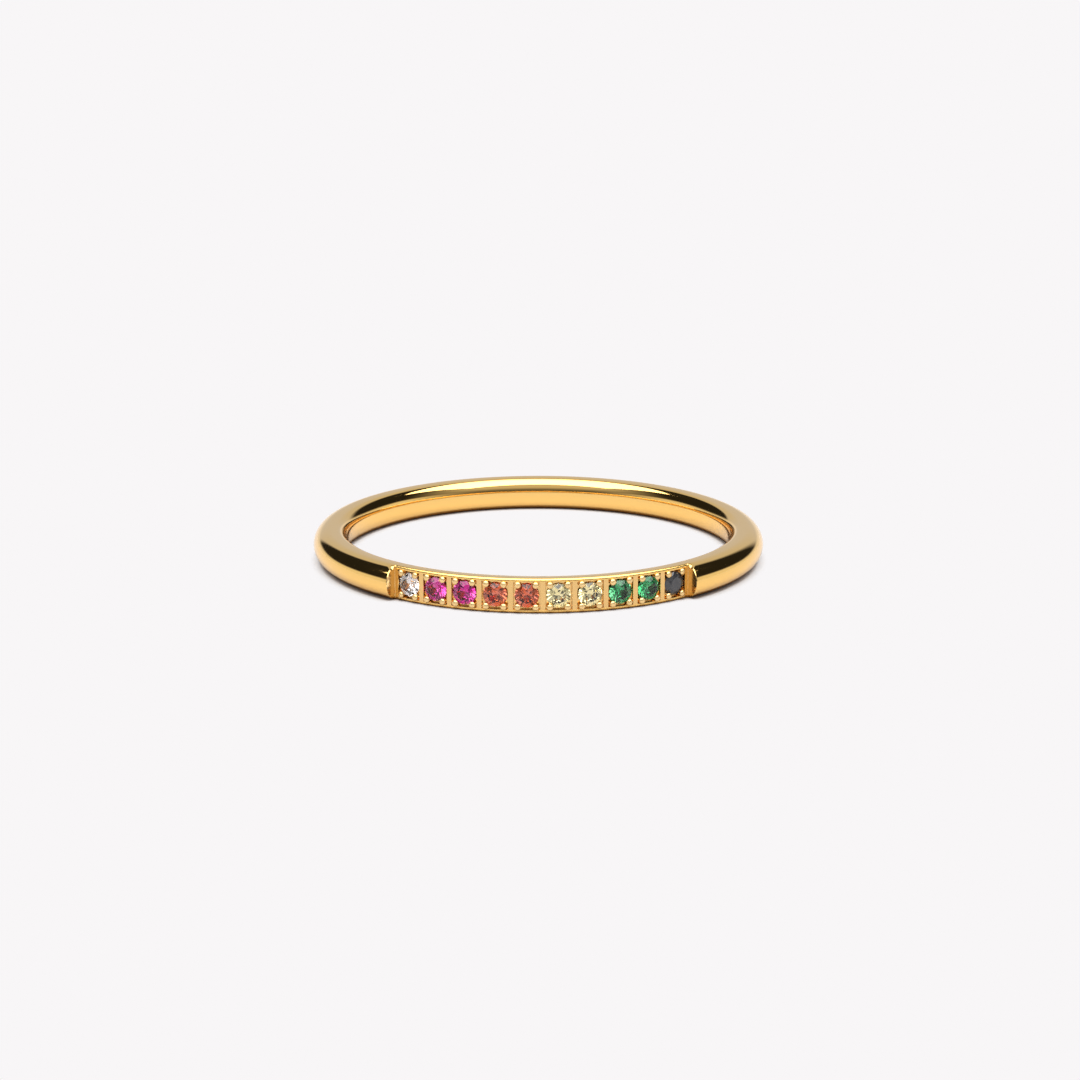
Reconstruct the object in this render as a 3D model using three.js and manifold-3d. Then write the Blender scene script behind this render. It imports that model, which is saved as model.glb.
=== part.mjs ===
// A slim gold stacking ring with ten round stones in a row, lying on its side.
// Units are millimetres. +Z is up and is the axis of the finger hole, and the stones face -Y.
// The origin is on the axis of the hole, in the plane that the ring rests on.
import * as THREE from "three";
import { ConvexGeometry } from "three/addons/geometries/ConvexGeometry.js";
import { mergeVertices } from "three/addons/utils/BufferGeometryUtils.js";
import Module from "manifold-3d";

const wasm = await Module();
wasm.setup();

// Shank: half-round outside, straight inside with an oval rounding at each edge.
const BORE_RADIUS = 8.6;
const SHANK_THICKNESS = 1.5;
const SHANK_WIDTH = 1.5;
const INNER_EDGE_REACH = 0.45;
const INNER_EDGE_HEIGHT = 0.72;
const OUTER_RADIUS = BORE_RADIUS + SHANK_THICKNESS;
const HALF_WIDTH = SHANK_WIDTH / 2;

// Bar: the front of the shank, cut back to a face that runs parallel to the axis.
const BAR_RECESS = 0.63;
const BAR_FACE_RADIUS = OUTER_RADIUS - BAR_RECESS;
const BAR_HALF_ANGLE = 41.15;
const BAR_WALL_FLARE = 10;

// Stones: round brilliants, with their tables a little above the face of the bar.
const STONE_COUNT = 10;
const STONE_PITCH_ANGLE = 8.13;
const STONE_RADIUS = 0.52;
const TABLE_RADIUS = 0.295;
const CROWN_HEIGHT = 0.15;
const GIRDLE_HEIGHT = 0.03;
const PAVILION_DEPTH = 0.42;
const STAR_REACH = 0.55;
const LOWER_HALF_REACH = 0.77;
const FACETS_ROUND = 8;
const TABLE_ABOVE_FACE = 0.085;
const GIRDLE_FROM_AXIS = BAR_FACE_RADIUS + TABLE_ABOVE_FACE - CROWN_HEIGHT - GIRDLE_HEIGHT / 2;

// Cells: a square pocket around each stone, with a conical seat under it.
const CELL_LENGTH = 1.11;
const CELL_WIDTH = 1.18;
const CELL_DEPTH = 0.17;
const SEAT_CLEARANCE = 0.03;
const SEAT_TIP_RADIUS = 0.06;

// Beads: the low round prongs at the corners of each cell, each on a short post.
const BEAD_RADIUS = 0.145;
const BEAD_HALF_HEIGHT = 0.09;
const BEAD_LENGTHWISE = 0.375;
const BEAD_WIDTHWISE = 0.475;
const BEAD_ABOVE_GIRDLE = 0.11;
const POST_RADIUS = 0.085;
const POST_OUTSET = 0.04;
const POST_SINK = 0.05;

// Fineness of the round surfaces.
const SEGMENTS_ROUND_RING = 96;
const DOME_SEGMENTS = 8;
const EDGE_SEGMENTS = 3;
const BAR_SEGMENTS = 24;
const SEAT_SEGMENTS = 12;
const BEAD_SEGMENTS = 8;
const BEAD_RINGS = 4;
const POST_SEGMENTS = 4;
const OVERCUT = 0.5;

const GOLD = { color: 0xf2bf6b, roughness: 0.12, metalness: 1.0 };
const CLEAR = { color: 0xf3eef4, roughness: 0.02, metalness: 0.0 };
const PINK = { color: 0xb5127f, roughness: 0.02, metalness: 0.0 };
const ORANGE = { color: 0xc2451c, roughness: 0.02, metalness: 0.0 };
const CHAMPAGNE = { color: 0xe6dfa0, roughness: 0.02, metalness: 0.0 };
const GREEN = { color: 0x128a48, roughness: 0.02, metalness: 0.0 };
const BLACK = { color: 0x16171b, roughness: 0.02, metalness: 0.0 };
const STONES = [
  { name: "clear", finish: CLEAR },
  { name: "pink", finish: PINK },
  { name: "pink", finish: PINK },
  { name: "orange", finish: ORANGE },
  { name: "orange", finish: ORANGE },
  { name: "champagne", finish: CHAMPAGNE },
  { name: "champagne", finish: CHAMPAGNE },
  { name: "green", finish: GREEN },
  { name: "green", finish: GREEN },
  { name: "black", finish: BLACK },
];

const radians = THREE.MathUtils.degToRad;

// A closed three.js geometry as a manifold-3d solid.
function solid(geometry) {
  const bare = geometry.clone();
  bare.deleteAttribute("normal");
  bare.deleteAttribute("uv");
  const merged = mergeVertices(bare);
  return new wasm.Manifold(
    new wasm.Mesh({
      numProp: 3,
      vertProperties: new Float32Array(merged.attributes.position.array),
      triVerts: new Uint32Array(merged.index.array),
    }),
  );
}

// A manifold-3d solid as a three.js geometry with flat faces.
function geometryOf(made) {
  const mesh = made.getMesh();
  const positions = new THREE.BufferAttribute(new Float32Array(mesh.vertProperties), 3);
  const geometry = new THREE.BufferGeometry();
  geometry.setAttribute("position", positions);
  geometry.setIndex(new THREE.BufferAttribute(new Uint32Array(mesh.triVerts), 1));
  const faceted = geometry.toNonIndexed();
  faceted.computeVertexNormals();
  return faceted;
}

// Points of an oval arc in the plane of radius and height, ends included.
function arc(centreRadius, centreHeight, reach, rise, fromDegrees, toDegrees, steps) {
  return Array.from({ length: steps + 1 }, (_, i) => {
    const angle = radians(fromDegrees + ((toDegrees - fromDegrees) * i) / steps);
    return new THREE.Vector2(
      centreRadius + reach * Math.cos(angle),
      centreHeight + rise * Math.sin(angle),
    );
  });
}

// The shank all the way round: its D-shaped section turned about the axis of the hole.
function shank() {
  const domeCentre = OUTER_RADIUS - HALF_WIDTH;
  const edgeCentre = BORE_RADIUS + INNER_EDGE_REACH;
  const upper = SHANK_WIDTH - INNER_EDGE_HEIGHT;
  const lower = INNER_EDGE_HEIGHT;
  const section = [
    ...arc(domeCentre, HALF_WIDTH, HALF_WIDTH, HALF_WIDTH, -90, 90, DOME_SEGMENTS),
    ...arc(edgeCentre, upper, INNER_EDGE_REACH, INNER_EDGE_HEIGHT, 90, 180, EDGE_SEGMENTS),
    ...arc(edgeCentre, lower, INNER_EDGE_REACH, INNER_EDGE_HEIGHT, 180, 270, EDGE_SEGMENTS),
  ];
  section.push(section[0].clone());
  return solid(new THREE.LatheGeometry(section, SEGMENTS_ROUND_RING).rotateX(Math.PI / 2));
}

// The angle in the XY plane of a place on the bar, counted from its middle towards +X.
function bearing(degreesFromMiddle) {
  return radians(degreesFromMiddle - 90);
}

// A point that lies the given distance from another in the given direction.
function along(point, direction, distance) {
  return new THREE.Vector2(
    point.x + distance * Math.cos(direction),
    point.y + distance * Math.sin(direction),
  );
}

// What is cut away in front of the bar: a block between two flat end walls, each a little
// steeper than radial, and the round face of the bar.
function barCutter() {
  const axis = new THREE.Vector2(0, 0);
  const right = along(axis, bearing(BAR_HALF_ANGLE), BAR_FACE_RADIUS);
  const left = along(axis, bearing(-BAR_HALF_ANGLE), BAR_FACE_RADIUS);
  const reach = BAR_RECESS + OVERCUT;
  const rightWallEnd = along(right, bearing(BAR_HALF_ANGLE - BAR_WALL_FLARE), reach);
  const leftWallEnd = along(left, bearing(BAR_WALL_FLARE - BAR_HALF_ANGLE), reach);
  const front = -(OUTER_RADIUS + OVERCUT);
  const outline = new THREE.Shape();
  outline.moveTo(leftWallEnd.x, leftWallEnd.y);
  outline.lineTo(leftWallEnd.x, front);
  outline.lineTo(rightWallEnd.x, front);
  outline.lineTo(rightWallEnd.x, rightWallEnd.y);
  outline.lineTo(right.x, right.y);
  outline.absarc(0, 0, BAR_FACE_RADIUS, bearing(BAR_HALF_ANGLE), bearing(-BAR_HALF_ANGLE), true);
  const height = SHANK_WIDTH + 2 * OVERCUT;
  const block = new THREE.ExtrudeGeometry(outline, {
    depth: height,
    bevelEnabled: false,
    curveSegments: BAR_SEGMENTS,
  });
  return solid(block.translate(0, 0, -OVERCUT));
}

// Turns and moves a geometry made about the origin, with +Z as its outward direction and
// +X along the bar, to a stone's place at the given distance from the axis of the hole.
function placement(index, distance) {
  const turn = radians((index - (STONE_COUNT - 1) / 2) * STONE_PITCH_ANGLE);
  return new THREE.Matrix4()
    .makeRotationZ(turn)
    .multiply(new THREE.Matrix4().makeTranslation(0, -distance, HALF_WIDTH))
    .multiply(new THREE.Matrix4().makeRotationX(Math.PI / 2));
}

// The pocket and seat of one stone, with +Z outward and the girdle's middle at the origin.
function cellCutters() {
  const floor = BAR_FACE_RADIUS - CELL_DEPTH - GIRDLE_FROM_AXIS;
  const pocket = new THREE.BoxGeometry(CELL_LENGTH, CELL_WIDTH, CELL_DEPTH + OVERCUT);
  pocket.translate(0, 0, floor + (CELL_DEPTH + OVERCUT) / 2);
  const seatRadius = STONE_RADIUS + SEAT_CLEARANCE;
  const seatDepth = PAVILION_DEPTH + 2 * SEAT_CLEARANCE;
  const seat = new THREE.CylinderGeometry(seatRadius, SEAT_TIP_RADIUS, seatDepth, SEAT_SEGMENTS);
  seat.rotateX(Math.PI / 2).translate(0, 0, -GIRDLE_HEIGHT / 2 - seatDepth / 2);
  return [pocket, seat];
}

// The four beads of one stone and their posts, with +Z outward and the girdle's middle at
// the origin. The posts stand a little further out than the beads, clear of the stone.
function beads() {
  const pieces = [];
  const floor = BAR_FACE_RADIUS - CELL_DEPTH - GIRDLE_FROM_AXIS - POST_SINK;
  const height = BEAD_ABOVE_GIRDLE - floor;
  for (const sideways of [-1, 1]) {
    for (const upwards of [-1, 1]) {
      const bead = new THREE.SphereGeometry(BEAD_RADIUS, BEAD_SEGMENTS, BEAD_RINGS);
      bead.rotateX(Math.PI / 2).scale(1, 1, BEAD_HALF_HEIGHT / BEAD_RADIUS);
      bead.translate(sideways * BEAD_LENGTHWISE, upwards * BEAD_WIDTHWISE, BEAD_ABOVE_GIRDLE);
      const post = new THREE.CylinderGeometry(POST_RADIUS, POST_RADIUS, height, POST_SEGMENTS);
      post.rotateX(Math.PI / 2);
      post.translate(
        sideways * (BEAD_LENGTHWISE + POST_OUTSET),
        upwards * (BEAD_WIDTHWISE + POST_OUTSET),
        floor + height / 2,
      );
      pieces.push(bead, post);
    }
  }
  return pieces;
}

// The band: the shank with the bar, cells and seats cut in it and the beads joined on.
function band() {
  let made = shank().subtract(barCutter());
  for (let index = 0; index < STONE_COUNT; index += 1) {
    const place = placement(index, GIRDLE_FROM_AXIS);
    for (const cutter of cellCutters()) {
      made = made.subtract(solid(cutter.applyMatrix4(place)));
    }
    for (const piece of beads()) {
      made = made.add(solid(piece.applyMatrix4(place)));
    }
  }
  return geometryOf(made);
}

// A point at a distance from the stone's own axis, on one of its sixteen directions.
function stonePoint(distance, sixteenth, height) {
  const angle = radians((360 / (2 * FACETS_ROUND)) * sixteenth);
  return new THREE.Vector3(distance * Math.cos(angle), distance * Math.sin(angle), height);
}

// A round brilliant with its girdle's middle at the origin and its table towards +Z.
// The kites and the pavilion mains lie on the even directions. Each star and lower half
// meets them on an odd direction, at the height that keeps the kite or main flat.
function brilliant() {
  const halfStep = Math.cos(radians(360 / (2 * FACETS_ROUND)));
  const girdleTop = GIRDLE_HEIGHT / 2;
  const tableEdge = TABLE_RADIUS * halfStep;
  const starTip = tableEdge + STAR_REACH * (STONE_RADIUS - tableEdge);
  const kiteShare = (STONE_RADIUS - starTip * halfStep) / (STONE_RADIUS - TABLE_RADIUS);
  const lowerTip = (1 - LOWER_HALF_REACH) * STONE_RADIUS;
  const mainShare = (STONE_RADIUS - lowerTip * halfStep) / STONE_RADIUS;
  const points = [new THREE.Vector3(0, 0, -girdleTop - PAVILION_DEPTH)];
  for (let i = 0; i < 2 * FACETS_ROUND; i += 2) {
    points.push(
      stonePoint(TABLE_RADIUS, i, girdleTop + CROWN_HEIGHT),
      stonePoint(starTip, i + 1, girdleTop + CROWN_HEIGHT * kiteShare),
      stonePoint(lowerTip, i + 1, -girdleTop - PAVILION_DEPTH * mainShare),
    );
  }
  for (let i = 0; i < 2 * FACETS_ROUND; i += 1) {
    points.push(stonePoint(STONE_RADIUS, i, girdleTop), stonePoint(STONE_RADIUS, i, -girdleTop));
  }
  return new ConvexGeometry(points);
}

function piece(name, geometry, finish) {
  const mesh = new THREE.Mesh(geometry, new THREE.MeshStandardMaterial(finish));
  mesh.name = name;
  return mesh;
}

const ring = new THREE.Group();
ring.add(piece("band", band(), GOLD));
STONES.forEach(({ name, finish }, index) => {
  const number = String(index + 1).padStart(2, "0");
  const stone = piece(`stone_${number}_${name}`, brilliant(), finish);
  stone.applyMatrix4(placement(index, GIRDLE_FROM_AXIS));
  ring.add(stone);
});

export default ring;
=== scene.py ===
"""A slim gold stacking ring with ten round stones in a row, lying on its side.

The ring keeps the frame of its CAD model: metres, +Z up along the axis of the finger hole, and
the stones facing -Y. The metal is modelled again here with finer edges; the stones are the CAD
nodes with gem materials.
"""

import math

import bmesh
import bpy
from mathutils import Matrix, Vector


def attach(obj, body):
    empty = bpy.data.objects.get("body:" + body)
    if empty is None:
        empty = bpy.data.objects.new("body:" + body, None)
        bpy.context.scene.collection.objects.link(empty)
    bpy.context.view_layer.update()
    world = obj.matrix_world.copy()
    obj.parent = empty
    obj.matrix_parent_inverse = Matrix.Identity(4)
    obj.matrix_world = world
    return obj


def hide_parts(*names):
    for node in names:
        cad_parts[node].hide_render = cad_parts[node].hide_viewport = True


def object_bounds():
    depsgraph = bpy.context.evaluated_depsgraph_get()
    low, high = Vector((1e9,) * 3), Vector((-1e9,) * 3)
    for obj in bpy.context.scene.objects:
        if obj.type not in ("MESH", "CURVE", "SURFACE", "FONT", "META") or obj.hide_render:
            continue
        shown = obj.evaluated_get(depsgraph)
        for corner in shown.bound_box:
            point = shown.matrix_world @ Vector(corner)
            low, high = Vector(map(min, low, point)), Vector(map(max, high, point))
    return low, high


bl_info = {
    "name": "Stone-set stacking ring",
    "version": (1, 0, 0),
    "blender": (4, 5, 0),
    "location": "3D Viewport > Sidebar > Ring",
    "description": "Models a slim gold ring with a row of ten small round stones",
    "category": "Add Mesh",
}

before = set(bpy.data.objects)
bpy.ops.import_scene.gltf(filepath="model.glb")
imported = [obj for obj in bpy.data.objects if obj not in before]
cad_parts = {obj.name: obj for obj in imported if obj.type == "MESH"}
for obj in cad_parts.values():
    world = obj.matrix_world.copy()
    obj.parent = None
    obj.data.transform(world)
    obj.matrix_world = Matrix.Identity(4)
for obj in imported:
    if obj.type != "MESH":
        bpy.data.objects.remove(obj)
CAD_LOW, CAD_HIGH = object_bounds()
MID_HEIGHT = (CAD_LOW.z + CAD_HIGH.z) / 2

BODY = "root"
BAND_NODE = "band"
STONE_PREFIX = "stone_"

# The mesh is worked in millimetres, where the default distances of the bmesh operators suit a
# ring, and is brought to metres at the end. Points closer than WELD count as one.
MM = 1000.0
WELD = 1e-3

# Fineness of the round surfaces.
DOME_STEPS = 32
EDGE_STEPS = 8
BROW_STEPS = 5
SHANK_STEPS = 176
RIM_STEPS = 18
CREASE_STEPS = 3
CELL_STEPS = 6
CELL_EDGE_STEPS = 2
SEPARATOR_STEPS = 2
SEAT_STEPS = 32
BEAD_AROUND = 20
BEAD_UP = 12
POST_AROUND = 12
SMOOTH_LIMIT = math.radians(35)

# How deep the rim of an end wall is worn: a share of its own width, or of the height of the
# wall where that is less. The rim widens between the two shoulder angles, which are counted up
# round the dome from its middle.
RIM_DROP = 0.5
RIM_SHARE = 0.6
SHOULDER_FROM = math.radians(46)
SHOULDER_TO = math.radians(80)

# Seats, beads and posts of one stone, in millimetres. Heights are counted outward from the
# middle of its girdle.
GIRDLE_BELOW_FACE = 0.08
SEAT_TOP = -0.015
SEAT_RADIUS = 0.55
SEAT_TIP_RADIUS = 0.06
SEAT_DEPTH = 0.48
BEAD_HEIGHT = 0.11
POST_OUTSET = 0.04
POST_SINK = 0.05

# Sockets of the Mix node that hold colours.
MIX_A = 6
MIX_B = 7
MIX_RESULT = 2

# Finish of the metal. Lengths are in metres, and a scale is a number of patches in a metre.
# Satin starts SATIN_DEPTH below the face of the bar. The painted shade of the pockets lies within
# POCKET_SHADE_DEPTH of the face and POCKET_SHADE_HALF_WIDTH of the middle. What stands above the
# face is a bead, with a painted highlight, or an end wall with painted shade, where it is within
# WALL_ANGLE of the end. WALL_SLACK takes in the leaning wall itself.
POLISHED = 0.06
WEAR_SCALE = 4000.0
GRAIN_SCALE = 16000.0
WEAR_DETAIL = 4.0
WEAR_ROUGHNESS = 0.05
WEAR_STRENGTH = 0.06
WEAR_DEPTH = 0.00001
SATIN = 0.12
SATIN_DEPTH = 0.0003
BEAD_SATIN = 0.15
BEAD_FROM = 0.00001
BEAD_TO = 0.00005
POCKET_SHADE_DEPTH = 0.00065
POCKET_SHADE_HALF_WIDTH = 0.00061
WALL_ANGLE = math.radians(1.3)
WALL_SLACK = math.radians(0.03)

# Finish of the stones. A bend is an index of refraction, and GLINT the strength of mirror
# reflections. Patches of a clear stone are paler, by ZONE_PALE of the way from white.
PALE_BEND = 2.15
VIVID_BEND = 1.9
BLACK_BEND = 1.75
GEM_POLISH = 0.01
BLACK_POLISH = 0.04
GLINT = 0.45
ZONE_SCALE = 2500.0
ZONE_FROM = 0.35
ZONE_TO = 0.65
ZONE_PALE = 0.85
BLACK_CLOUD = 0.03

# Colours and brightness of the studio, where the floor is about 0.93. The dark room has the
# brightness HAZE, and its front FRONT_LOW near the floor and FRONT_RISE more higher up.
FLOOR_GLOW = (0.939, 0.921, 0.930)
BACK_CARD = (0.60, 0.62, 0.67)
HORIZON = (0.82, 0.82, 0.82)
HAZE = 0.018
FRONT_LOW = 0.10
FRONT_RISE = 0.5

# Edges of what stands in the studio, in degrees, each from where it starts to where it is
# whole. The card's sides are counted from the back towards +X, the front and the rise of the
# horizon from the back either way, and heights up from the floor.
CARD_LEFT = (-30, -24)
CARD_RIGHT = (39, 27)
CARD_TOP = (80, 70)
FRONT_SIDES = (86, 150)
FRONT_HEIGHT = (6, 26)
HORIZON_EDGE = (9, 3)
HORIZON_SIDES = (45, 95)
HORIZON_RISE = 8

# How the floor takes a painted shadow where the ring closes it off from the back light within a
# short reach, and where it is open enough for its faint shadows to be lifted.
OPEN_RAYS = 4
BACK_LIGHT = (0.0, 0.64, 0.77)
CONTACT_REACH = 0.0002
CONTACT_DARK = 0.45
CONTACT_CLEAR = 0.95
# CONTACT_SHADE is the warm share of the floor's colour that is kept in the painted shadow.
CONTACT_SHADE = (0.32, 0.22, 0.14)
LIFT_REACH = 0.0006
LIFT_FROM = 0.15
LIFT_TO = 0.8

# How far the floor lies off centre, as a share of its size.
FLOOR_SHIFT = 0.125

# Size of the softbox, and how far it hangs towards the camera, as shares of its height.
SOFTBOX_WIDTH = 2.3
SOFTBOX_LENGTH = 1.41
SOFTBOX_BACK = 0.405

# Camera. The sensor is in millimetres, and the clip distances in metres.
SENSOR_WIDTH = 36.0
SHIFT_X = 0.0015
SHIFT_Y = -0.0006
CLIP_START = 0.001
CLIP_END = 100.0


def stone_names():
    return sorted(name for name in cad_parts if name.startswith(STONE_PREFIX))


def stone_bearing(name):
    """The angle of a stone from the middle of the bar, counted towards +X."""
    corners = [v.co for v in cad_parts[name].data.vertices]
    middle = sum(corners, Vector()) / len(corners)
    return math.atan2(middle.x, -middle.y)


class RingSizes(bpy.types.PropertyGroup):
    """Sizes of the metal, in metres and radians."""

    bore_radius: bpy.props.FloatProperty(
        name="Bore radius",
        description="Half the inside diameter of the ring",
        default=0.0086,
        subtype="DISTANCE",
        unit="LENGTH",
    )
    edge_reach: bpy.props.FloatProperty(
        name="Inner edge reach",
        description="How far the oval rounding at the bore reaches into the flat sides",
        default=0.00045,
        subtype="DISTANCE",
        unit="LENGTH",
    )
    edge_height: bpy.props.FloatProperty(
        name="Inner edge height",
        description="How far the oval rounding at the bore reaches along the finger",
        default=0.00072,
        subtype="DISTANCE",
        unit="LENGTH",
    )
    bar_recess: bpy.props.FloatProperty(
        name="Bar recess",
        description="How far the face of the bar lies below the outside of the shank",
        default=0.00063,
        subtype="DISTANCE",
        unit="LENGTH",
    )
    bar_half_angle: bpy.props.FloatProperty(
        name="Bar half angle",
        description="Angle from the middle of the bar to each of its end walls",
        default=math.radians(41.15),
        subtype="ANGLE",
        unit="ROTATION",
    )
    wall_flare: bpy.props.FloatProperty(
        name="Wall flare",
        description="How far an end wall leans from radial towards the middle of the bar",
        default=math.radians(10),
        subtype="ANGLE",
        unit="ROTATION",
    )
    brow: bpy.props.FloatProperty(
        name="Bar edge",
        description="Radius of the rounding between the face of the bar and its flat sides",
        default=0.00011,
        subtype="DISTANCE",
        unit="LENGTH",
    )
    rim: bpy.props.FloatProperty(
        name="Wall rim",
        description="Width of the polished rim of each end wall",
        default=0.00003,
        subtype="DISTANCE",
        unit="LENGTH",
    )
    shoulder: bpy.props.FloatProperty(
        name="Wall shoulder",
        description="Width of the polished rim where it crosses the upper shoulder of the shank",
        default=0.00036,
        subtype="DISTANCE",
        unit="LENGTH",
    )
    crease: bpy.props.FloatProperty(
        name="Wall crease",
        description="Radius in the corner between an end wall and the face of the bar",
        default=0.00005,
        subtype="DISTANCE",
        unit="LENGTH",
    )
    cell_length: bpy.props.FloatProperty(
        name="Cell length",
        description="Size of the pocket of one stone along the bar",
        default=0.00111,
        subtype="DISTANCE",
        unit="LENGTH",
    )
    cell_width: bpy.props.FloatProperty(
        name="Cell width",
        description="Size of the pocket of one stone across the bar",
        default=0.00118,
        subtype="DISTANCE",
        unit="LENGTH",
    )
    cell_depth: bpy.props.FloatProperty(
        name="Cell depth",
        description="Depth of the floor of a pocket below the face of the bar",
        default=0.00017,
        subtype="DISTANCE",
        unit="LENGTH",
    )
    cell_edge: bpy.props.FloatProperty(
        name="Cell edge",
        description="Width of the worn edge round each pocket",
        default=0.000025,
        subtype="DISTANCE",
        unit="LENGTH",
    )
    bead_radius: bpy.props.FloatProperty(
        name="Bead radius",
        description="Radius of the beads that hold the stones",
        default=0.000145,
        subtype="DISTANCE",
        unit="LENGTH",
    )
    bead_rise: bpy.props.FloatProperty(
        name="Bead rise",
        description="Height of a bead from its middle to its top",
        default=0.00009,
        subtype="DISTANCE",
        unit="LENGTH",
    )
    bead_lengthwise: bpy.props.FloatProperty(
        name="Bead place along",
        description="Distance of a bead from the middle of its stone along the bar",
        default=0.000375,
        subtype="DISTANCE",
        unit="LENGTH",
    )
    bead_widthwise: bpy.props.FloatProperty(
        name="Bead place across",
        description="Distance of a bead from the middle of its stone across the bar",
        default=0.000475,
        subtype="DISTANCE",
        unit="LENGTH",
    )
    post_radius: bpy.props.FloatProperty(
        name="Post radius",
        description="Radius of the short post that a bead stands on",
        default=0.000085,
        subtype="DISTANCE",
        unit="LENGTH",
    )


class RingColours(bpy.types.PropertyGroup):
    """Colours of the metal and the stones."""

    gold: bpy.props.FloatVectorProperty(
        name="Gold",
        description="Reflected colour of the plating",
        size=3,
        default=(1.0, 0.635, 0.205),
        min=0.0,
        max=1.0,
        subtype="COLOR",
    )
    # Painted shade: a darker gold for the pockets and the bar round them.
    shaded_pocket_gold: bpy.props.FloatVectorProperty(
        name="Shaded pocket gold",
        description="Colour of the bar round the stones, darker as painted shade",
        size=3,
        default=(0.88, 0.57, 0.225),
        min=0.0,
        max=1.0,
        subtype="COLOR",
    )
    # Painted shade: a darker gold for the end walls.
    shaded_wall_gold: bpy.props.FloatVectorProperty(
        name="Shaded wall gold",
        description="Colour of the end walls, which are left as sawn, darker as painted shade",
        size=3,
        default=(0.74, 0.51, 0.215),
        min=0.0,
        max=1.0,
        subtype="COLOR",
    )
    # Painted highlight: a paler gold for the beads.
    highlit_bead_gold: bpy.props.FloatVectorProperty(
        name="Highlit bead gold",
        description="Colour of the burnished beads, paler as a painted highlight",
        size=3,
        default=(0.97, 0.69, 0.32),
        min=0.0,
        max=1.0,
        subtype="COLOR",
    )
    clear: bpy.props.FloatVectorProperty(
        name="Clear stone",
        description="Colour of the clear stone",
        size=3,
        default=(0.88, 0.82, 0.80),
        min=0.0,
        max=1.0,
        subtype="COLOR",
    )
    pink: bpy.props.FloatVectorProperty(
        name="Pink stones",
        description="Colour of the pink stones",
        size=3,
        default=(0.62, 0.012, 0.26),
        min=0.0,
        max=1.0,
        subtype="COLOR",
    )
    orange: bpy.props.FloatVectorProperty(
        name="Orange stones",
        description="Colour of the orange stones",
        size=3,
        default=(0.70, 0.10, 0.02),
        min=0.0,
        max=1.0,
        subtype="COLOR",
    )
    champagne: bpy.props.FloatVectorProperty(
        name="Champagne stones",
        description="Colour of the champagne stones",
        size=3,
        default=(0.96, 0.82, 0.38),
        min=0.0,
        max=1.0,
        subtype="COLOR",
    )
    green: bpy.props.FloatVectorProperty(
        name="Green stones",
        description="Colour of the green stones",
        size=3,
        default=(0.008, 0.31, 0.085),
        min=0.0,
        max=1.0,
        subtype="COLOR",
    )
    black: bpy.props.FloatVectorProperty(
        name="Black stone",
        description="Colour of the black stone",
        size=3,
        default=(0.012, 0.012, 0.016),
        min=0.0,
        max=1.0,
        subtype="COLOR",
    )


class StageSettings(bpy.types.PropertyGroup):
    """Floor, light and camera."""

    floor_colour: bpy.props.FloatVectorProperty(
        name="Floor colour",
        description="Colour of the pale floor",
        size=3,
        default=(0.553, 0.542, 0.547),
        min=0.0,
        max=1.0,
        subtype="COLOR",
    )
    floor_size: bpy.props.FloatProperty(
        name="Floor size",
        description="Length of each side of the floor",
        default=4.0,
        subtype="DISTANCE",
        unit="LENGTH",
    )
    softbox_height: bpy.props.FloatProperty(
        name="Softbox height",
        description="Height of the overhead softbox above the floor",
        default=8.0,
        subtype="DISTANCE",
        unit="LENGTH",
    )
    softbox_radiance: bpy.props.FloatProperty(
        name="Softbox brightness",
        description="Brightness of the overhead softbox, where the floor is about 0.93",
        default=3.3,
        min=0.0,
    )
    camera_distance: bpy.props.FloatProperty(
        name="Camera distance",
        description="Distance of the camera from the middle of the ring",
        default=0.1174,
        subtype="DISTANCE",
        unit="LENGTH",
    )
    camera_elevation: bpy.props.FloatProperty(
        name="Camera elevation",
        description="Angle of the camera above the floor",
        default=math.radians(14.51),
        subtype="ANGLE",
        unit="ROTATION",
    )
    camera_azimuth: bpy.props.FloatProperty(
        name="Camera azimuth",
        description="Angle of the camera round the ring, from the front towards +X",
        default=math.radians(-1.1),
        subtype="ANGLE",
        unit="ROTATION",
    )
    lens: bpy.props.FloatProperty(
        name="Lens",
        description="Focal length of the camera in millimetres",
        default=86.75,
        subtype="DISTANCE_CAMERA",
        unit="CAMERA",
    )


class Wire:
    """An output socket. Arithmetic on it adds Math nodes to its tree."""

    def __init__(self, nodes, socket):
        self.nodes = nodes
        self.socket = socket

    def __add__(self, other):
        return self.nodes.math("ADD", self, other)

    __radd__ = __add__

    def __sub__(self, other):
        return self.nodes.math("SUBTRACT", self, other)

    def __rsub__(self, other):
        return self.nodes.math("SUBTRACT", other, self)

    def __mul__(self, other):
        return self.nodes.math("MULTIPLY", self, other)

    __rmul__ = __mul__

    def __truediv__(self, other):
        return self.nodes.math("DIVIDE", self, other)

    def __rtruediv__(self, other):
        return self.nodes.math("DIVIDE", other, self)


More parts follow.
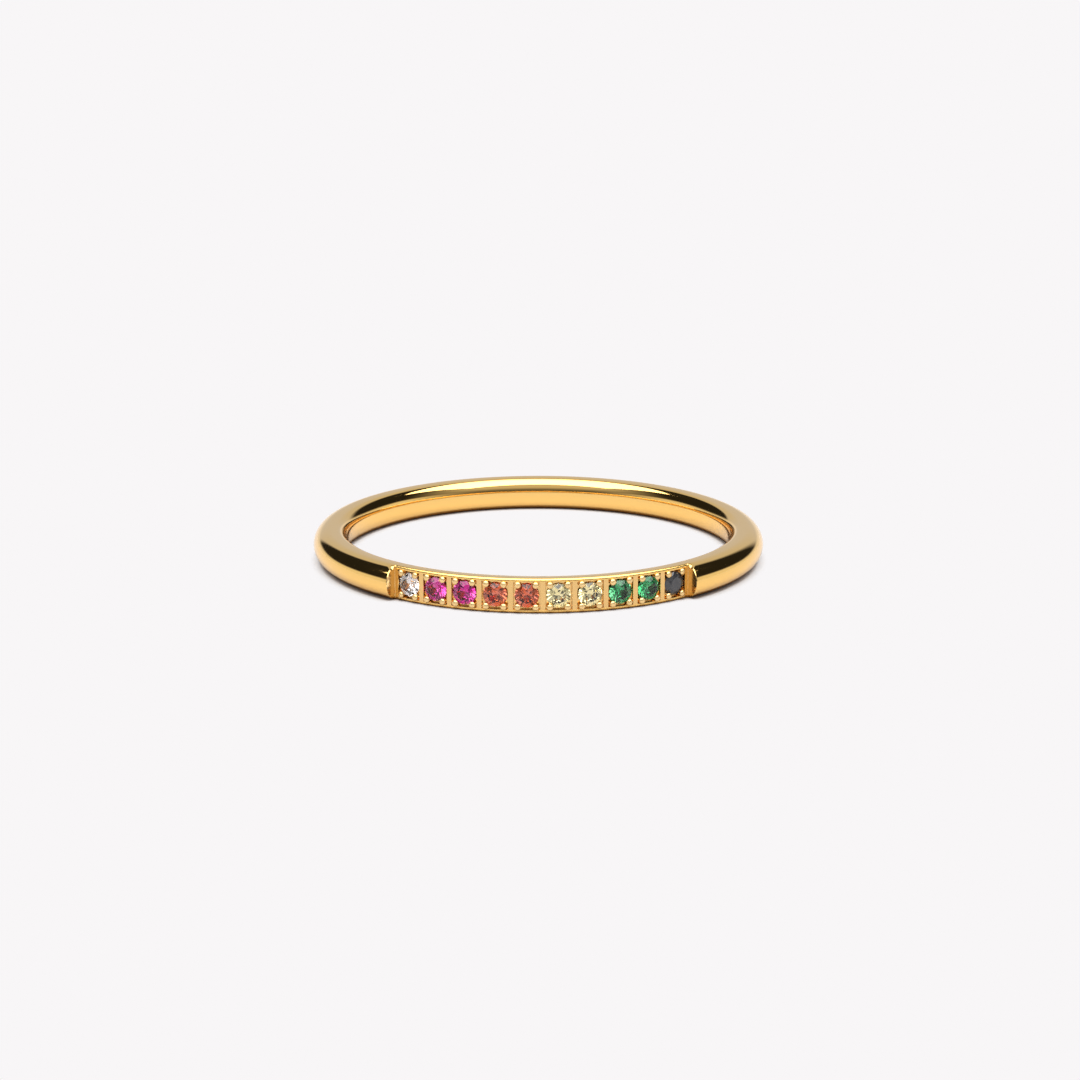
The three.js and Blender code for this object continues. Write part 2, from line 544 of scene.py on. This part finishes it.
class Nodes:
    """The node tree of a material or of the world."""

    def __init__(self, owner):
        owner.use_nodes = True
        self.tree = owner.node_tree
        self.tree.nodes.clear()

    def add(self, kind, sockets=None, output=0, **settings):
        """Adds a node, sets its settings, then its sockets, and returns one of its outputs."""
        node = self.tree.nodes.new(kind)
        for name, value in settings.items():
            setattr(node, name, value)
        for name, value in (sockets or {}).items():
            if isinstance(value, Wire):
                self.tree.links.new(value.socket, node.inputs[name])
            else:
                node.inputs[name].default_value = value
        return Wire(self, node.outputs[output]) if len(node.outputs) else None

    def math(self, operation, *values):
        return self.add("ShaderNodeMath", dict(enumerate(values)), operation=operation)

    def step(self, value, low, high):
        """0 at low, 1 at high, and smooth in between. low may be the larger one."""
        return self.add(
            "ShaderNodeMapRange",
            {"Value": value, "From Min": low, "From Max": high},
            interpolation_type="SMOOTHSTEP",
        )

    def blend(self, factor, first, second):
        """A mix of two colours."""
        return self.add(
            "ShaderNodeMix",
            {"Factor": factor, MIX_A: first, MIX_B: second},
            output=MIX_RESULT,
            data_type="RGBA",
        )

    def mix_shaders(self, factor, first, second):
        return self.add("ShaderNodeMixShader", {0: factor, 1: first, 2: second})

    def noise(self, place, scale, detail=2.0):
        return self.add(
            "ShaderNodeTexNoise", {"Vector": place, "Scale": scale, "Detail": detail}
        )

    def place(self):
        """Where a point lies on the piece, in metres."""
        return self.add("ShaderNodeTexCoord", output="Object")

    def parts(self, vector):
        """The X, Y and Z of a vector."""
        split = self.add("ShaderNodeSeparateXYZ", {"Vector": vector})
        return [Wire(self, out) for out in split.socket.node.outputs]

    def open_sky(self, reach):
        """How open a point is towards the back light, within a distance."""
        return self.add(
            "ShaderNodeAmbientOcclusion",
            {"Distance": reach, "Normal": BACK_LIGHT},
            output=1,
            samples=OPEN_RAYS,
        )

    def surface(self, **sockets):
        """Ends a material with a Principled shader. _ stands for the space in a socket's name."""
        named = {name.replace("_", " "): value for name, value in sockets.items()}
        shader = self.add("ShaderNodeBsdfPrincipled", named)
        self.add("ShaderNodeOutputMaterial", {"Surface": shader})


def material(name, build, *values):
    """A new material whose nodes are made by the given function."""
    made = bpy.data.materials.new(name)
    build(Nodes(made), *values)
    return made


def opaque(colour):
    return (*colour, 1.0)


def gold(nodes, sizes, colours):
    """Polished gold with faint wear and satin on the bar, painted shade in its pockets and on its
    end walls, and a painted highlight on its beads.
    """
    face = CAD_HIGH.x - sizes.bar_recess
    half_angle = sizes.bar_half_angle
    flare = sizes.wall_flare
    place = nodes.place()
    across, deep, up = nodes.parts(place)
    from_axis = nodes.math("SQRT", across * across + deep * deep)
    turn = nodes.math("ARCTAN2", nodes.math("ABSOLUTE", across), 0.0 - deep)
    wall_turn = nodes.math("ARCSINE", face * math.sin(flare) / from_axis)
    wall_at = nodes.math("MINIMUM", half_angle, wall_turn + (half_angle - flare + WALL_SLACK))
    between_walls = nodes.math("LESS_THAN", turn, wall_at)
    on_bar = between_walls * nodes.step(from_axis, face - SATIN_DEPTH, face - SATIN_DEPTH / 2)
    proud = between_walls * nodes.step(from_axis, face + BEAD_FROM, face + BEAD_TO)
    on_beads = proud * nodes.math("LESS_THAN", turn, half_angle - WALL_ANGLE)
    # Painted shade: the pockets and the band of the bar round them take a darker gold.
    off_middle = nodes.math("ABSOLUTE", up - MID_HEIGHT)
    in_cells = nodes.math("LESS_THAN", off_middle, POCKET_SHADE_HALF_WIDTH)
    off_bore = nodes.math("GREATER_THAN", from_axis, face - POCKET_SHADE_DEPTH)
    pocket_shade = between_walls * in_cells * off_bore
    shaded_bar_metal = nodes.blend(pocket_shade, opaque(colours.gold), opaque(colours.shaded_pocket_gold))
    # Painted shade: the end walls take a darker gold.
    metal = nodes.blend(proud, shaded_bar_metal, opaque(colours.shaded_wall_gold))
    wear = nodes.noise(place, WEAR_SCALE, WEAR_DETAIL)
    grain = nodes.noise(place, GRAIN_SCALE, WEAR_DETAIL)
    bump = nodes.add(
        "ShaderNodeBump",
        {"Height": wear + grain * on_bar, "Strength": WEAR_STRENGTH, "Distance": WEAR_DEPTH},
    )
    # Painted highlight: the beads take a paler gold.
    nodes.surface(
        Base_Color=nodes.blend(on_beads, metal, opaque(colours.highlit_bead_gold)),
        Metallic=1.0,
        Roughness=POLISHED + wear * WEAR_ROUGHNESS + on_bar * SATIN + on_beads * BEAD_SATIN,
        Normal=bump,
    )


def gem(nodes, colour, bend):
    """Clear cut stone with a little zoning of its colour."""
    zone = nodes.step(nodes.noise(nodes.place(), ZONE_SCALE), ZONE_FROM, ZONE_TO)
    paler = tuple(1 - (1 - c) * ZONE_PALE for c in colour)
    nodes.surface(
        Base_Color=nodes.blend(zone, opaque(colour), opaque(paler)),
        Roughness=GEM_POLISH,
        IOR=bend,
        Specular_Tint=opaque((GLINT, GLINT, GLINT)),
        Transmission_Weight=1.0,
    )


def jet(nodes, colour):
    """Black stone with a bright polish and faint grey clouds."""
    cloud = nodes.noise(nodes.place(), ZONE_SCALE)
    greyer = tuple(c + BLACK_CLOUD for c in colour)
    nodes.surface(
        Base_Color=nodes.blend(cloud, opaque(colour), opaque(greyer)),
        Roughness=BLACK_POLISH,
        IOR=BLACK_BEND,
    )


def floor_paint(nodes, colour):
    """Matt paint with a painted shadow close to what stands on it. Seen directly, faint shadows
    are lifted.
    """
    # Painted shadow: a darker, warm floor colour where the ring closes the floor off.
    clear_of_painted_shadow = nodes.step(nodes.open_sky(CONTACT_REACH), CONTACT_DARK, CONTACT_CLEAR)
    painted_shadow_colour = tuple(c * share for c, share in zip(colour, CONTACT_SHADE))
    painted_shadow = nodes.add("ShaderNodeBsdfDiffuse", {"Color": opaque(painted_shadow_colour)})
    plain = nodes.add("ShaderNodeBsdfDiffuse", {"Color": opaque(colour)})
    matt = nodes.mix_shaders(clear_of_painted_shadow, painted_shadow, plain)
    even = nodes.add("ShaderNodeEmission", {"Color": opaque(FLOOR_GLOW), "Strength": 1.0})
    camera_ray = nodes.add("ShaderNodeLightPath", output="Is Camera Ray")
    lift = camera_ray * nodes.step(nodes.open_sky(LIFT_REACH), LIFT_FROM, LIFT_TO)
    mixed = nodes.mix_shaders(lift, matt, even)
    nodes.add("ShaderNodeOutputMaterial", {"Surface": mixed})


def round_corners(bm, corners, radius, steps):
    """Rounds corners of a flat outline."""
    bmesh.ops.bevel(
        bm,
        geom=corners,
        offset=radius,
        offset_type="OFFSET",
        segments=steps,
        profile=0.5,
        affect="VERTICES",
        material=-1,
        clamp_overlap=False,
    )


def distance(vert):
    """Distance of a vertex from the axis of the finger hole."""
    return math.hypot(vert.co.x, vert.co.y)


def bearing(point):
    """Angle of a point from the middle of the bar, counted towards +X."""
    return math.atan2(point.x, -point.y)


def turned(angle):
    return Matrix.Rotation(angle, 3, "Z")


def verts_of(geom):
    return [g for g in geom if isinstance(g, bmesh.types.BMVert)]


def edges_of(geom):
    return [g for g in geom if isinstance(g, bmesh.types.BMEdge)]


def unique(items):
    """The items without repeats, in their own order."""
    return list(dict.fromkeys(items))


def border_of(faces):
    """The edges round a group of faces."""
    edges = unique(e for f in faces for e in f.edges)
    return [e for e in edges if sum(f in faces for f in e.link_faces) == 1]


def upright_face(bm, inner, outer, height):
    """A face in front of the axis. Returns its inner and its outer corners."""
    middle = (inner + outer) / 2
    corners = bmesh.ops.create_grid(bm, x_segments=1, y_segments=1, size=0.5)["verts"]
    upright = Matrix.Rotation(math.pi / 2, 3, "X")
    bmesh.ops.rotate(bm, verts=corners, cent=(0, 0, 0), matrix=upright)
    bmesh.ops.scale(bm, verts=corners, vec=(outer - inner, 1, height))
    bmesh.ops.translate(bm, verts=corners, vec=(middle, 0, height / 2))
    bmesh.ops.rotate(bm, verts=corners, cent=(0, 0, 0), matrix=turned(-math.pi / 2))
    near = [v for v in corners if distance(v) < middle]
    far = [v for v in corners if distance(v) > middle]
    return near, far


def lone_face(bm):
    """The face that no other face touches."""
    return next(f for f in bm.faces if all(e.is_boundary for e in f.edges))


def outline(bm, angle):
    """Takes the lone face away and turns the edges that were round it by an angle."""
    bmesh.ops.delete(bm, geom=[lone_face(bm)], context="FACES_ONLY")
    edges = [e for e in bm.edges if e.is_wire]
    verts = unique(v for e in edges for v in e.verts)
    bmesh.ops.rotate(bm, verts=verts, cent=(0, 0, 0), matrix=turned(angle))
    return verts + edges


def sweep(bm, geom, angle, steps):
    """Turns an outline about the axis of the hole, and returns it where it ends."""
    return bmesh.ops.spin(
        bm,
        geom=geom,
        cent=(0, 0, 0),
        axis=(0, 0, 1),
        angle=angle,
        steps=steps,
        use_duplicate=False,
    )["geom_last"]


def sweep_rings(bm, geom, angle, steps):
    """A sweep in single steps. Returns the outline where it ends, and the rings it passed."""
    rings = [verts_of(geom)]
    for _ in range(steps):
        geom = sweep(bm, geom, angle / steps, 1)
        rings.append(verts_of(geom))
    return geom, rings


def quarter_round(number, steps):
    """Height of a hollow quarter circle, from 1 at its first step to 0 at its last."""
    rest = 1 - number / steps
    return 1 - math.sqrt(1 - rest * rest)


class Band:
    """Makes the metal of the ring, in millimetres."""

    def __init__(self, sizes):
        self.bore = sizes.bore_radius * MM
        self.outer = CAD_HIGH.x * MM
        self.height = (CAD_HIGH.z - CAD_LOW.z) * MM
        self.dome = self.height / 2
        self.dome_centre = self.outer - self.dome
        self.edge_reach = sizes.edge_reach * MM
        self.edge_height = sizes.edge_height * MM
        self.face = self.outer - sizes.bar_recess * MM
        self.girdle = self.face - GIRDLE_BELOW_FACE
        self.half_angle = sizes.bar_half_angle
        self.flare = sizes.wall_flare
        self.brow = sizes.brow * MM
        self.rim = sizes.rim * MM
        self.shoulder = sizes.shoulder * MM
        self.crease = sizes.crease * MM
        self.cell_angle = sizes.cell_length * MM / self.face
        self.cell_width = sizes.cell_width * MM
        self.cell_depth = sizes.cell_depth * MM
        self.cell_edge = sizes.cell_edge * MM
        self.bead = sizes.bead_radius * MM
        self.bead_rise = sizes.bead_rise * MM
        self.bead_along = sizes.bead_lengthwise * MM
        self.bead_across = sizes.bead_widthwise * MM
        self.post = sizes.post_radius * MM
        self.stones = sorted(stone_bearing(name) for name in stone_names())
        self.bm = bmesh.new()

    def make(self):
        self.add_shank()
        self.add_bar()
        bmesh.ops.remove_doubles(self.bm, verts=self.bm.verts, dist=WELD)
        self.fill_walls()
        for angle in self.stones:
            self.cut_cell(angle)
        self.add_beads()
        bmesh.ops.recalc_face_normals(self.bm, faces=self.bm.faces)
        bmesh.ops.scale(self.bm, verts=self.bm.verts, vec=(1 / MM,) * 3)
        return self.bm

    def round_bore(self, corners):
        """Rounds the two corners at the bore to a quarter of an oval."""
        round_corners(self.bm, corners, self.edge_height, EDGE_STEPS)
        for vert in lone_face(self.bm).verts:
            over = distance(vert) - self.bore
            if over < self.edge_height + WELD:
                vert.co.y += over * (1 - self.edge_reach / self.edge_height)

    def lean(self, vert):
        """How far a point of an end wall is turned towards the middle of the bar."""
        out = distance(vert)
        if out <= self.face:
            return 0.0
        return self.flare - math.asin(self.face * math.sin(self.flare) / out)

    def rim_width(self, vert):
        """Width of the rim where a point lies, from the bottom round to the top of the shank."""
        rise = math.atan2(vert.co.z - self.dome, distance(vert) - self.dome_centre)
        share = (rise - SHOULDER_FROM) / (SHOULDER_TO - SHOULDER_FROM)
        share = min(1, max(0, share))
        return self.rim + (self.shoulder - self.rim) * share * share * (3 - 2 * share)

    def shape_rim(self, rings, side):
        """Lowers the shank towards an end wall and leans the wall towards the bar."""
        for ring in rings:
            for vert in ring:
                lean = turned(side * self.lean(vert))
                wall = distance(vert) - self.face
                if wall > 0:
                    width = self.rim_width(vert)
                    along = (abs(bearing(vert.co)) - self.half_angle) * distance(vert)
                    share = max(0, 1 - max(0, along) / width)
                    outward = vert.co.xy.normalized() * self.dome_centre
                    centre = Vector((outward.x, outward.y, self.dome))
                    arm = vert.co - centre
                    depth = min(RIM_DROP * width, RIM_SHARE * wall) * share * share
                    vert.co = centre + arm * (1 - depth / arm.length)
                vert.co = lean @ vert.co

    def add_shank(self):
        """The shank from one end wall round the back to the other."""
        bm = self.bm
        near, far = upright_face(bm, self.bore, self.outer, self.height)
        round_corners(bm, far, self.dome, DOME_STEPS)
        self.round_bore(near)
        bmesh.ops.remove_doubles(bm, verts=bm.verts, dist=WELD)
        start = outline(bm, self.half_angle)
        rim_angle = self.shoulder / self.outer
        around = 2 * (math.pi - self.half_angle - rim_angle)
        last, right = sweep_rings(bm, start, rim_angle, RIM_STEPS)
        last = sweep(bm, last, around, SHANK_STEPS)
        last, left = sweep_rings(bm, last, rim_angle, RIM_STEPS)
        self.shape_rim(right, -1)
        self.shape_rim(left, 1)

    def split_outline(self):
        """Adds the points of the bar's outline that meet the shank and the cells."""
        bm = self.bm
        middle = self.height / 2
        for edge in lone_face(bm).edges[:]:
            low, high = sorted(edge.verts, key=lambda v: v.co.z)
            length = edge.calc_length()
            if high.co.z - low.co.z < WELD:
                split = bmesh.ops.subdivide_edges(bm, edges=[edge], cuts=1)
                for vert in verts_of(split["geom_inner"]):
                    vert.co.xy = vert.co.xy.normalized() * self.dome_centre
            elif length > self.cell_width and distance(low) > self.dome_centre:
                split = bmesh.ops.subdivide_edges(bm, edges=[edge], cuts=2)
                for vert in verts_of(split["geom_inner"]):
                    side = math.copysign(self.cell_width / 2, vert.co.z - middle)
                    vert.co.z = middle + side

    def add_bar(self):
        """The bar between the end walls, with a ring of points at each side of each cell."""
        bm = self.bm
        near, far = upright_face(bm, self.bore, self.face, self.height)
        self.round_bore(near)
        round_corners(bm, far, self.brow, BROW_STEPS)
        self.split_outline()
        start = outline(bm, -self.half_angle)
        crease_angle = self.crease / self.face
        last, left = sweep_rings(bm, start, crease_angle, CREASE_STEPS)
        reached = crease_angle - self.half_angle
        for angle in self.stones:
            before = angle - self.cell_angle / 2
            last = sweep(bm, last, before - reached, SEPARATOR_STEPS)
            last = sweep(bm, last, self.cell_angle, CELL_STEPS)
            reached = before + self.cell_angle
        last = sweep(bm, last, self.half_angle - crease_angle - reached, SEPARATOR_STEPS)
        last, right = sweep_rings(bm, last, crease_angle, CREASE_STEPS)
        for rings in (left, right[::-1]):
            for number, ring in enumerate(rings):
                rise = self.crease * quarter_round(number, CREASE_STEPS)
                for vert in ring:
                    share = 1 - min(1, max(0, (self.face - distance(vert)) / self.brow))
                    vert.co.xy *= 1 + rise * share / distance(vert)

    def fill_walls(self):
        """Closes the two end walls."""
        open_edges = [e for e in self.bm.edges if len(e.link_faces) == 1]
        bmesh.ops.holes_fill(self.bm, edges=open_edges, sides=0)

    def place(self, angle, out):
        """A matrix that takes +Z outward, +X along the bar and the origin to a stone's place."""
        upright = Matrix.Rotation(math.pi / 2, 4, "X")
        middle = Matrix.Translation((0, -out, self.height / 2))
        return Matrix.Rotation(angle, 4, "Z") @ middle @ upright

    def in_cell(self, face, angle):
        centre = face.calc_center_median()
        return (
            abs(bearing(centre) - angle) < self.cell_angle / 2
            and abs(centre.z - self.height / 2) < self.cell_width / 2
            and centre.xy.length > self.dome_centre
        )

    def cut_cell(self, angle):
        """Sinks the pocket of one stone, with a conical seat in its floor."""
        bm = self.bm
        floor = self.face - self.cell_depth
        outward = Vector((math.sin(angle), -math.cos(angle), 0))
        faces = [f for f in bm.faces if self.in_cell(f, angle)]
        mouth = border_of(faces)
        sunk = set(verts_of(bmesh.ops.extrude_face_region(bm, geom=faces)["geom"]))
        bmesh.ops.delete(bm, geom=faces, context="FACES")
        for vert in sunk:
            vert.co += outward * (floor - vert.co.dot(outward))
        floor_faces = [f for f in bm.faces if all(v in sunk for v in f.verts)]
        border = border_of(floor_faces)
        bmesh.ops.delete(bm, geom=floor_faces, context="FACES")
        self.add_seat(border, outward, self.place(angle, floor))
        bmesh.ops.bevel(
            bm,
            geom=mouth,
            offset=self.cell_edge,
            offset_type="OFFSET",
            segments=CELL_EDGE_STEPS,
            profile=0.5,
            affect="EDGES",
            material=-1,
            clamp_overlap=True,
        )

    def add_seat(self, border, outward, mouth):
        """Fills the floor of a pocket round a conical seat, whose mouth is at a matrix."""
        bm = self.bm
        top = self.girdle + SEAT_TOP
        slope = (SEAT_RADIUS - SEAT_TIP_RADIUS) / SEAT_DEPTH
        above_mouth = top - (self.face - self.cell_depth)
        radius = SEAT_RADIUS - slope * above_mouth
        ring = bmesh.ops.create_circle(
            bm, cap_ends=False, radius=radius, segments=SEAT_STEPS, matrix=mouth
        )["verts"]
        seat = unique(e for v in ring for e in v.link_edges)
        bmesh.ops.triangle_fill(
            bm, use_beauty=True, use_dissolve=False, edges=border + seat, normal=outward
        )
        cone = bmesh.ops.extrude_edge_only(bm, edges=seat)["geom"]
        tip = verts_of(cone)
        shrink = SEAT_TIP_RADIUS / radius
        bmesh.ops.scale(bm, verts=tip, vec=(shrink, shrink, 1), space=mouth.inverted())
        bmesh.ops.translate(bm, verts=tip, vec=outward * (above_mouth - SEAT_DEPTH))
        bmesh.ops.holes_fill(bm, edges=edges_of(cone), sides=0)

    def four_beads(self):
        """The beads round one stone on their short posts, with +Z outward."""
        bm = bmesh.new()
        foot = self.face - self.cell_depth - self.girdle - POST_SINK
        flat = Matrix.Diagonal((1, 1, self.bead_rise / self.bead, 1))
        for along in (-1, 1):
            for across in (-1, 1):
                centre = Vector((along * self.bead_along, across * self.bead_across, BEAD_HEIGHT))
                bmesh.ops.create_uvsphere(
                    bm,
                    u_segments=BEAD_AROUND,
                    v_segments=BEAD_UP,
                    radius=self.bead,
                    matrix=Matrix.Translation(centre) @ flat,
                )
                post = centre + Vector((along * POST_OUTSET, across * POST_OUTSET, 0))
                post.z = (BEAD_HEIGHT + foot) / 2
                bmesh.ops.create_cone(
                    bm,
                    cap_ends=True,
                    cap_tris=False,
                    segments=POST_AROUND,
                    radius1=self.post,
                    radius2=self.post,
                    depth=BEAD_HEIGHT - foot,
                    matrix=Matrix.Translation(post),
                )
        return bm

    def add_beads(self):
        """A copy of the four beads round each stone."""
        four = self.four_beads()
        mesh = bpy.data.meshes.new("beads")
        for angle in self.stones:
            copy = four.copy()
            copy.transform(self.place(angle, self.girdle))
            copy.to_mesh(mesh)
            copy.free()
            self.bm.from_mesh(mesh)
        four.free()
        bpy.data.meshes.remove(mesh)


def finished(bm, name):
    """An object of the mesh, smooth except along its sharp edges."""
    for face in bm.faces:
        face.smooth = True
    for edge in bm.edges:
        edge.smooth = not edge.is_manifold or edge.calc_face_angle() < SMOOTH_LIMIT
    mesh = bpy.data.meshes.new(name)
    bm.to_mesh(mesh)
    bm.free()
    piece = bpy.data.objects.new(name, mesh)
    bpy.context.scene.collection.objects.link(piece)
    normals = piece.modifiers.new("Even shading", "WEIGHTED_NORMAL")
    normals.keep_sharp = True
    return piece


class RING_OT_band(bpy.types.Operator):
    """Models the gold band with its bar, cells and beads"""

    bl_idname = "ring.band"
    bl_label = "Gold band"
    bl_options = {"REGISTER", "UNDO"}

    def execute(self, context):
        sizes = context.scene.ring_sizes
        colours = context.scene.ring_colours
        band = finished(Band(sizes).make(), "gold_band")
        band.data.materials.append(material("polished_gold", gold, sizes, colours))
        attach(band, BODY)
        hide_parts(BAND_NODE)
        return {"FINISHED"}


class RING_OT_stones(bpy.types.Operator):
    """Gives each cut stone its gem material"""

    bl_idname = "ring.stones"
    bl_label = "Stones"
    bl_options = {"REGISTER", "UNDO"}

    def execute(self, context):
        colours = context.scene.ring_colours
        gems = {
            "clear": material("clear_stone", gem, colours.clear, PALE_BEND),
            "pink": material("pink_stone", gem, colours.pink, VIVID_BEND),
            "orange": material("orange_stone", gem, colours.orange, VIVID_BEND),
            "champagne": material("champagne_stone", gem, colours.champagne, PALE_BEND),
            "green": material("green_stone", gem, colours.green, VIVID_BEND),
            "black": material("black_stone", jet, colours.black),
        }
        for name in stone_names():
            kind = name.split("_")[-1]
            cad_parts[name].material_slots[0].material = gems[kind]
        return {"FINISHED"}


def edge(nodes, angle, degrees):
    """A soft edge in the studio, between two angles in degrees."""
    return nodes.step(angle, *(math.radians(d) for d in degrees))


def studio(nodes):
    """A dark room with a pale horizon and a grey card behind the ring, all by direction."""
    direction = nodes.add("ShaderNodeTexCoord", output="Generated")
    across, deep, up = nodes.parts(direction)
    turn = nodes.math("ARCTAN2", across, deep)
    off_back = nodes.math("ABSOLUTE", turn)
    height = nodes.math("ARCSINE", up)
    front = edge(nodes, off_back, FRONT_SIDES)
    front_haze = FRONT_LOW + edge(nodes, height, FRONT_HEIGHT) * FRONT_RISE
    room = HAZE + front * (front_haze - HAZE)
    dark = nodes.add("ShaderNodeCombineColor", {"Red": room, "Green": room, "Blue": room})
    sides = edge(nodes, turn, CARD_LEFT) * edge(nodes, turn, CARD_RIGHT)
    card = nodes.blend(sides * edge(nodes, height, CARD_TOP), dark, opaque(BACK_CARD))
    rise = edge(nodes, off_back, HORIZON_SIDES) * math.radians(HORIZON_RISE)
    near_floor = edge(nodes, height - rise, HORIZON_EDGE) * (1 - front)
    above = nodes.blend(near_floor, card, opaque(HORIZON))
    over_floor = nodes.math("GREATER_THAN", up, 0.0)
    seen = nodes.blend(over_floor, opaque(FLOOR_GLOW), above)
    camera_ray = nodes.add("ShaderNodeLightPath", output="Is Camera Ray")
    shown = nodes.blend(camera_ray, seen, opaque(FLOOR_GLOW))
    background = nodes.add("ShaderNodeBackground", {"Color": shown, "Strength": 1.0})
    nodes.add("ShaderNodeOutputWorld", {"Surface": background})


def add_floor(settings):
    """The floor, a little off centre, so that its diagonal doesn't run under the ring."""
    bm = bmesh.new()
    bmesh.ops.create_grid(bm, x_segments=1, y_segments=1, size=settings.floor_size / 2)
    mesh = bpy.data.meshes.new("floor")
    bm.to_mesh(mesh)
    bm.free()
    floor = bpy.data.objects.new("floor", mesh)
    bpy.context.scene.collection.objects.link(floor)
    floor.location = (settings.floor_size * FLOOR_SHIFT, 0, CAD_LOW.z)
    mesh.materials.append(material("floor_paint", floor_paint, settings.floor_colour))


def add_softbox(settings):
    """A large lamp overhead, most of it on the camera's side."""
    height = settings.softbox_height
    lamp = bpy.data.lights.new("softbox", "AREA")
    lamp.shape = "RECTANGLE"
    lamp.size = SOFTBOX_WIDTH * height
    lamp.size_y = SOFTBOX_LENGTH * height
    lamp.energy = settings.softbox_radiance * math.pi * lamp.size * lamp.size_y
    softbox = bpy.data.objects.new("softbox", lamp)
    softbox.location = (0, -SOFTBOX_BACK * height, height)
    bpy.context.scene.collection.objects.link(softbox)


def add_camera(settings):
    """The camera, aimed at the middle of the ring."""
    target = Vector((0, 0, MID_HEIGHT))
    turn = settings.camera_azimuth
    rise = settings.camera_elevation
    level = math.cos(rise)
    back = Vector((math.sin(turn) * level, -math.cos(turn) * level, math.sin(rise)))
    lens = bpy.data.cameras.new("camera")
    lens.lens = settings.lens
    lens.sensor_width = SENSOR_WIDTH
    lens.shift_x = SHIFT_X
    lens.shift_y = SHIFT_Y
    lens.clip_start = CLIP_START
    lens.clip_end = CLIP_END
    camera = bpy.data.objects.new("camera", lens)
    camera.location = target + back * settings.camera_distance
    camera.rotation_mode = "QUATERNION"
    camera.rotation_quaternion = (-back).to_track_quat("-Z", "Y")
    bpy.context.scene.collection.objects.link(camera)
    bpy.context.scene.camera = camera


class RING_OT_stage(bpy.types.Operator):
    """Sets up the floor, the softbox, the studio round them and the camera"""

    bl_idname = "ring.stage"
    bl_label = "Stage"
    bl_options = {"REGISTER", "UNDO"}

    def execute(self, context):
        settings = context.scene.ring_stage
        scene = context.scene
        add_floor(settings)
        add_softbox(settings)
        add_camera(settings)
        scene.world = bpy.data.worlds.new("studio")
        studio(Nodes(scene.world))
        scene.view_settings.view_transform = "Standard"
        return {"FINISHED"}


class RING_PT_panel(bpy.types.Panel):
    """Lists the steps that make the ring, and its settings"""

    bl_idname = "RING_PT_panel"
    bl_label = "Stacking ring"
    bl_space_type = "VIEW_3D"
    bl_region_type = "UI"
    bl_category = "Ring"

    def draw(self, context):
        layout = self.layout
        for operator in OPERATORS:
            layout.operator(operator.bl_idname)
        for group in SETTINGS:
            box = layout.box()
            box.label(text=group)
            values = getattr(context.scene, group)
            for name in values.__annotations__:
                box.prop(values, name)


OPERATORS = (RING_OT_band, RING_OT_stones, RING_OT_stage)
SETTINGS = {
    "ring_sizes": RingSizes,
    "ring_colours": RingColours,
    "ring_stage": StageSettings,
}


def register():
    for group in SETTINGS.values():
        bpy.utils.register_class(group)
    for name, group in SETTINGS.items():
        setattr(bpy.types.Scene, name, bpy.props.PointerProperty(type=group))
    for made in (*OPERATORS, RING_PT_panel):
        bpy.utils.register_class(made)


def unregister():
    for made in (RING_PT_panel, *reversed(OPERATORS)):
        bpy.utils.unregister_class(made)
    for name in SETTINGS:
        delattr(bpy.types.Scene, name)
    for group in SETTINGS.values():
        bpy.utils.unregister_class(group)


def main():
    register()
    bpy.ops.ring.band()
    bpy.ops.ring.stones()
    bpy.ops.ring.stage()


if __name__ == "__main__":
    main()
